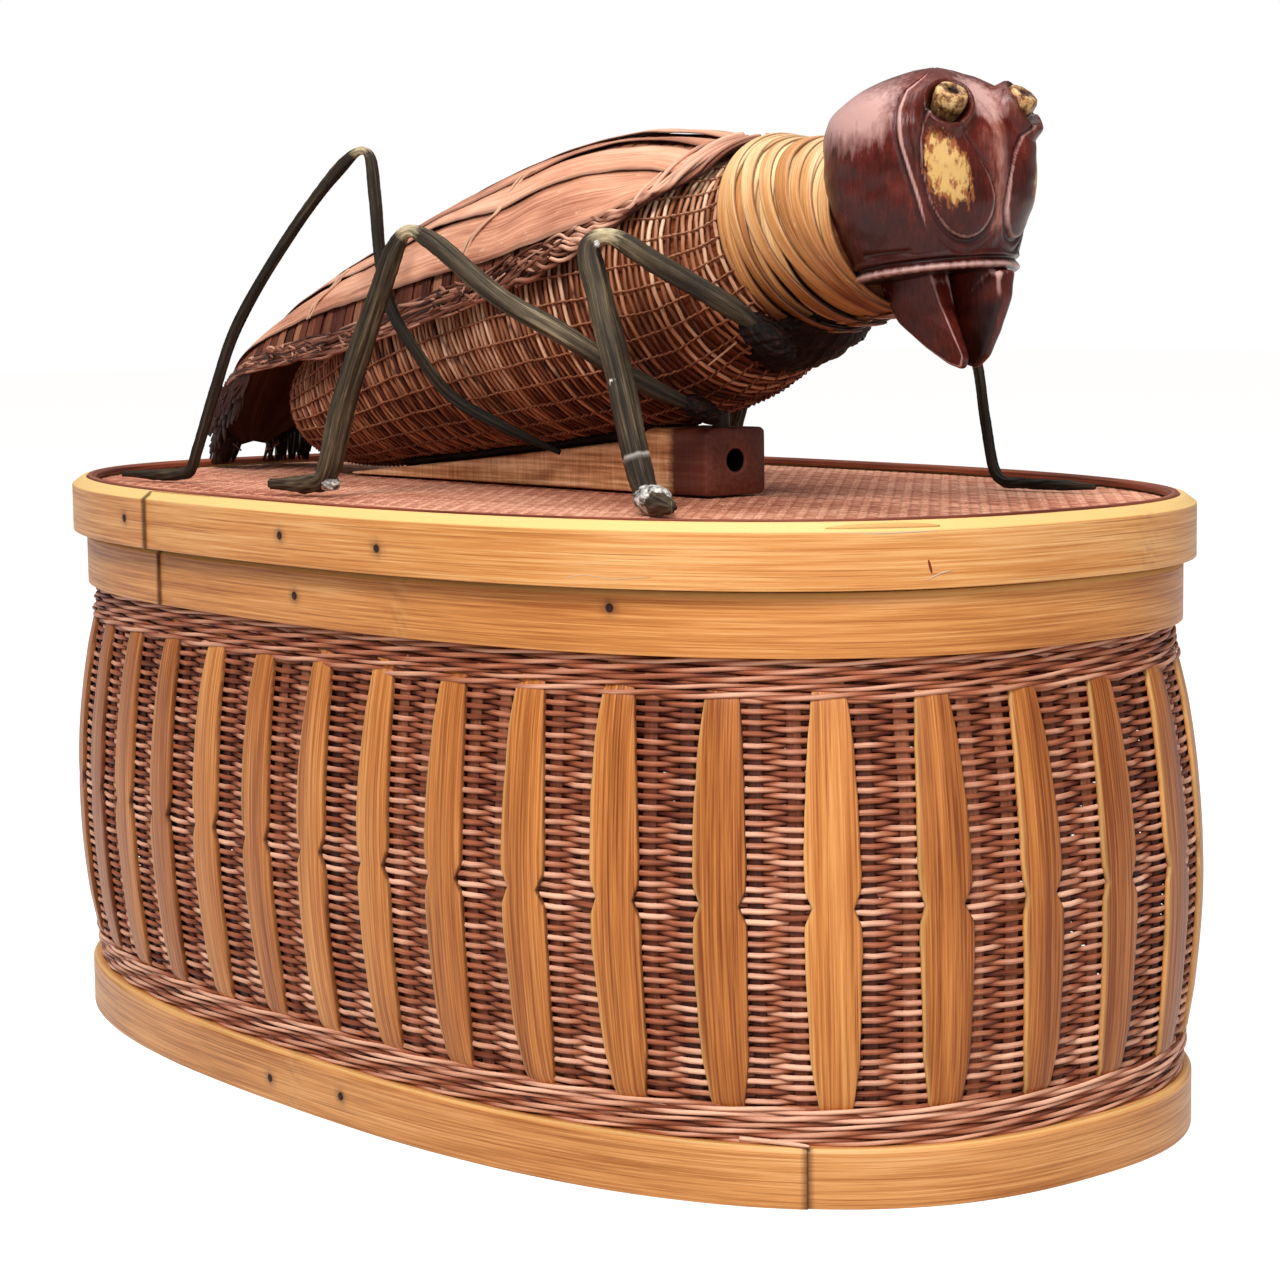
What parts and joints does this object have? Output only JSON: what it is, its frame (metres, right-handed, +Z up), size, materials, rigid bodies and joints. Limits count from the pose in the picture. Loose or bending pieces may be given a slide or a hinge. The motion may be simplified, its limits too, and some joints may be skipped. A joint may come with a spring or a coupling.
{
  "type": "woven bug box",
  "caption": "Oval lidded box of bamboo hoops and wicker with upright slats, its lift-off lid carrying a large cricket of basketwork, carved wood and bent twigs.",
  "frame": {"origin": "middle of the underside of the base hoop, on the surface that the box stands on", "axes": "+X the way the cricket faces, along the oval's length, +Y the side of its left legs, +Z up"},
  "size_m": [0.3217, 0.1918, 0.2256],
  "materials": {
    "bamboo_hoop": "bent bamboo, scraped smooth and oiled, long grain",
    "inner_hoop": "bent bamboo, stained red-brown",
    "woven_panel": "fine flat weave of stained cane",
    "wicker": "fine round cane strands, stained dark red-brown, with tan bamboo slats",
    "dark_peg": "dark hardwood, cut flush",
    "block_wood": "sawn softwood, oiled, its front end stained dark red",
    "body_weave": "fine basketwork of split cane",
    "wing_splint": "flat splints, shaved and stained salmon brown",
    "braid": "twisted and frayed dark cane",
    "neck_splint": "thin tan splints, glossy skin side out",
    "lacquered_wood": "carved wood, dark red-brown lacquer, worn at the edges",
    "painted_knob": "turned wood, pale yellow paint, worn",
    "twig": "bent twig, grey-brown, lengthwise fibres"
  },
  "bodies": {
    "box": {"base_panel": "woven_panel", "base_hoop": "bamboo_hoop", "base_inner_hoop": "inner_hoop", "base_pin_1": "dark_peg", "base_pin_2": "dark_peg", "wicker_wall": "wicker", "rim_hoop": "bamboo_hoop", "rim_collar": "inner_hoop", "rim_pin_1": "dark_peg", "rim_pin_2": "dark_peg"},
    "lid": {"lid_hoop": "bamboo_hoop", "lid_inner_hoop": "inner_hoop", "lid_panel": "woven_panel", "lid_bead": "inner_hoop", "lid_pin_1": "dark_peg", "lid_pin_2": "dark_peg", "lid_pin_3": "dark_peg", "mount_block": "block_wood", "mount_peg": "dark_peg", "basket_body": "body_weave", "wing_cover": "wing_splint", "right_wing_hem": "braid", "left_wing_hem": "braid", "neck_core": "body_weave", "neck_wrap": "neck_splint", "head": "lacquered_wood", "right_eye_knob": "painted_knob", "left_eye_knob": "painted_knob", "right_mandible": "lacquered_wood", "left_mandible": "lacquered_wood", "breast": "braid", "right_front_leg": "twig", "right_middle_leg": "twig", "right_hind_leg": "twig", "left_front_leg": "twig", "left_middle_leg": "twig", "left_hind_leg": "twig"}
  },
  "joints": [
    {"name": "lid_lift", "type": "slide", "parent": "box", "child": "lid", "axis": [0, 0, 1], "range_m": [0, 0.15]}
  ]
}
